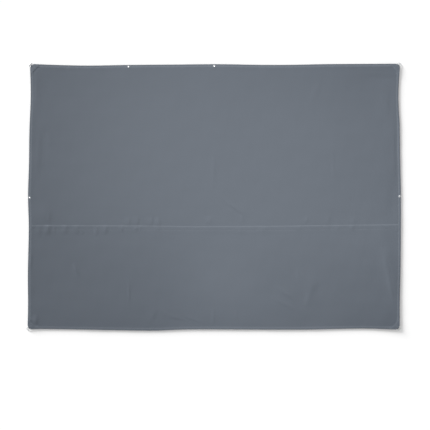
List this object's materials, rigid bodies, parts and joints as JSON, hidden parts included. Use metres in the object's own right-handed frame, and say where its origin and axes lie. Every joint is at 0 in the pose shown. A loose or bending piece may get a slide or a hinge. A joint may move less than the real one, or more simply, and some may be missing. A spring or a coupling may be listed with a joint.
{
  "type": "shade sail",
  "caption": "Rectangular woven shade sail laid out face up, with a seam across it, hemmed sides, patched clipped corners, D-rings in webbing loops and pressed eyelets.",
  "frame": {"origin": "on the floor, under the middle of the whole sail with its rings", "axes": "+X along the long side, to the picture's right; +Y up the picture, towards the wide panel; +Z off the floor, out of the sail's face"},
  "size_m": [3.5334, 2.528, 0.019],
  "materials": {
    "cloth": "woven polyester, slate grey, faint sheen",
    "webbing": "polyester webbing, dark grey",
    "steel": "polished stainless steel"
  },
  "bodies": {
    "root": {"panel_upper": "cloth", "panel_lower": "cloth", "hem_top": "cloth", "hem_left": "cloth", "hem_right": "cloth", "corner_patch_top_left": "cloth", "corner_patch_top_right": "cloth", "corner_patch_bottom_left": "cloth", "corner_patch_bottom_right": "cloth", "webbing_loop_top_left": "webbing", "webbing_loop_top_right": "webbing", "webbing_loop_bottom_left": "webbing", "webbing_loop_bottom_right": "webbing", "d_ring_top_left": "steel", "d_ring_top_right": "steel", "d_ring_bottom_left": "steel", "d_ring_bottom_right": "steel", "eyelet_top_left": "steel", "eyelet_top_middle": "steel", "eyelet_left_middle": "steel", "eyelet_right_middle": "steel"}
  },
  "joints": []
}
